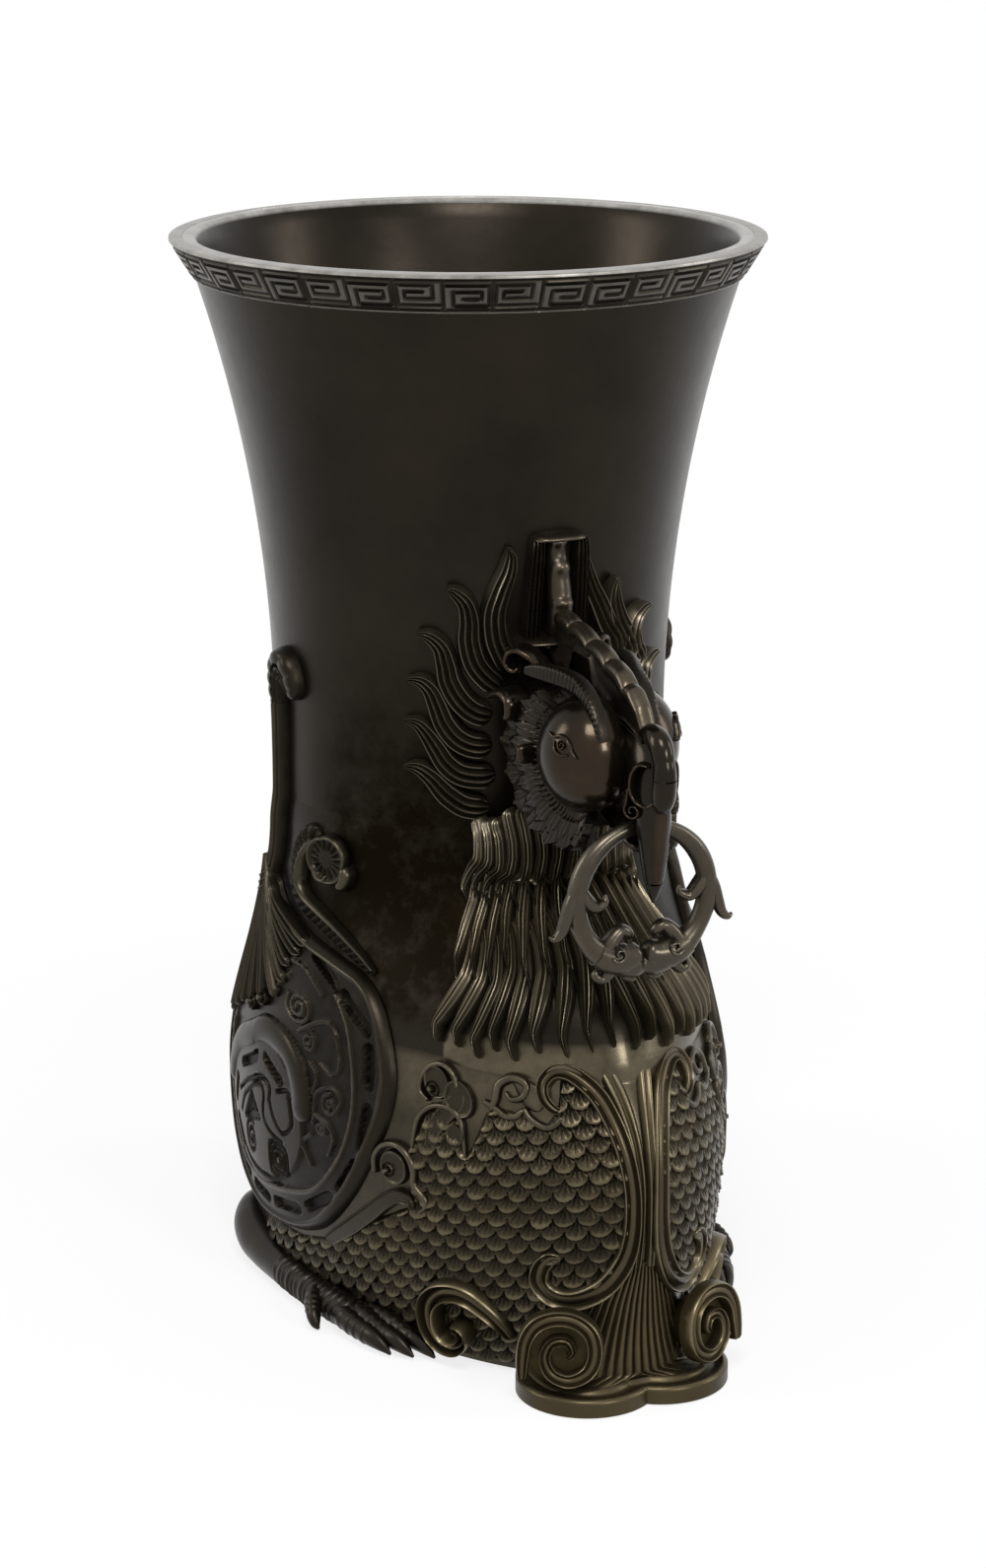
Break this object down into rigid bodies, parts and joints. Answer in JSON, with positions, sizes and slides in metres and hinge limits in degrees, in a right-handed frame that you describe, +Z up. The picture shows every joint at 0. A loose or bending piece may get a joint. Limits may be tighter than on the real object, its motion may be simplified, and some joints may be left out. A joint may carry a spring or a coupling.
{
  "type": "wine vessel",
  "caption": "Trumpet-mouthed bronze wine vessel rising from a standing phoenix with crest, mane, wings and scaled breast; a loose dragon ring swings in the beak.",
  "frame": {"origin": "on the vase's axis, on the flat plane that the vessel rests on", "axes": "+Z up along the vase's axis, the bird looks along -Y, +X towards the bird's left wing"},
  "size_m": [0.198, 0.2632, 0.36],
  "materials": {
    "vase_wall": "dark brown patina, satin",
    "mouth_band": "dark brown patina, satin",
    "bird_body": "dark brown patina, satin",
    "base_plate": "dark brown patina, satin",
    "chest_foot": "dark brown patina, satin",
    "breast_strap_right": "dark brown patina, satin",
    "breast_strap_left": "dark brown patina, satin",
    "cloud_scroll_right": "dark brown patina, satin",
    "cloud_scroll_left": "dark brown patina, satin",
    "base_scroll_right": "dark brown patina, satin",
    "base_scroll_left": "dark brown patina, satin",
    "wing_right": "dark brown patina, satin",
    "wing_left": "dark brown patina, satin",
    "wing_plume_right": "dark brown patina, satin",
    "wing_plume_left": "dark brown patina, satin",
    "hook_plume_right": "dark brown patina, satin",
    "hook_plume_left": "dark brown patina, satin",
    "leg_right": "dark brown patina, satin",
    "leg_left": "dark brown patina, satin",
    "neck": "dark brown patina, satin",
    "neck_plumes_upper": "dark brown patina, satin",
    "neck_plumes_middle": "dark brown patina, satin",
    "neck_plumes_lower": "dark brown patina, satin",
    "head": "dark brown patina, satin",
    "crest": "dark brown patina, satin",
    "mane_right": "dark brown patina, satin",
    "mane_left": "dark brown patina, satin",
    "tail_feathers": "dark brown patina, satin",
    "tail_plume": "dark brown patina, satin",
    "beak_ring": "dark brown patina, satin"
  },
  "bodies": {
    "vessel": {"vase_wall": "vase_wall", "mouth_band": "mouth_band", "bird_body": "bird_body", "base_plate": "base_plate", "chest_foot": "chest_foot", "breast_strap_right": "breast_strap_right", "breast_strap_left": "breast_strap_left", "cloud_scroll_right": "cloud_scroll_right", "cloud_scroll_left": "cloud_scroll_left", "base_scroll_right": "base_scroll_right", "base_scroll_left": "base_scroll_left", "wing_right": "wing_right", "wing_left": "wing_left", "wing_plume_right": "wing_plume_right", "wing_plume_left": "wing_plume_left", "hook_plume_right": "hook_plume_right", "hook_plume_left": "hook_plume_left", "leg_right": "leg_right", "leg_left": "leg_left", "neck": "neck", "neck_plumes_upper": "neck_plumes_upper", "neck_plumes_middle": "neck_plumes_middle", "neck_plumes_lower": "neck_plumes_lower", "head": "head", "crest": "crest", "mane_right": "mane_right", "mane_left": "mane_left", "tail_feathers": "tail_feathers", "tail_plume": "tail_plume"},
    "ring": {"beak_ring": "beak_ring"}
  },
  "joints": [
    {"name": "ring_swing", "type": "hinge", "parent": "vessel", "child": "ring", "pos_m": [0, -0.138, 0.1928], "axis": [1, 0, 0], "range_deg": [-110, 50]}
  ]
}
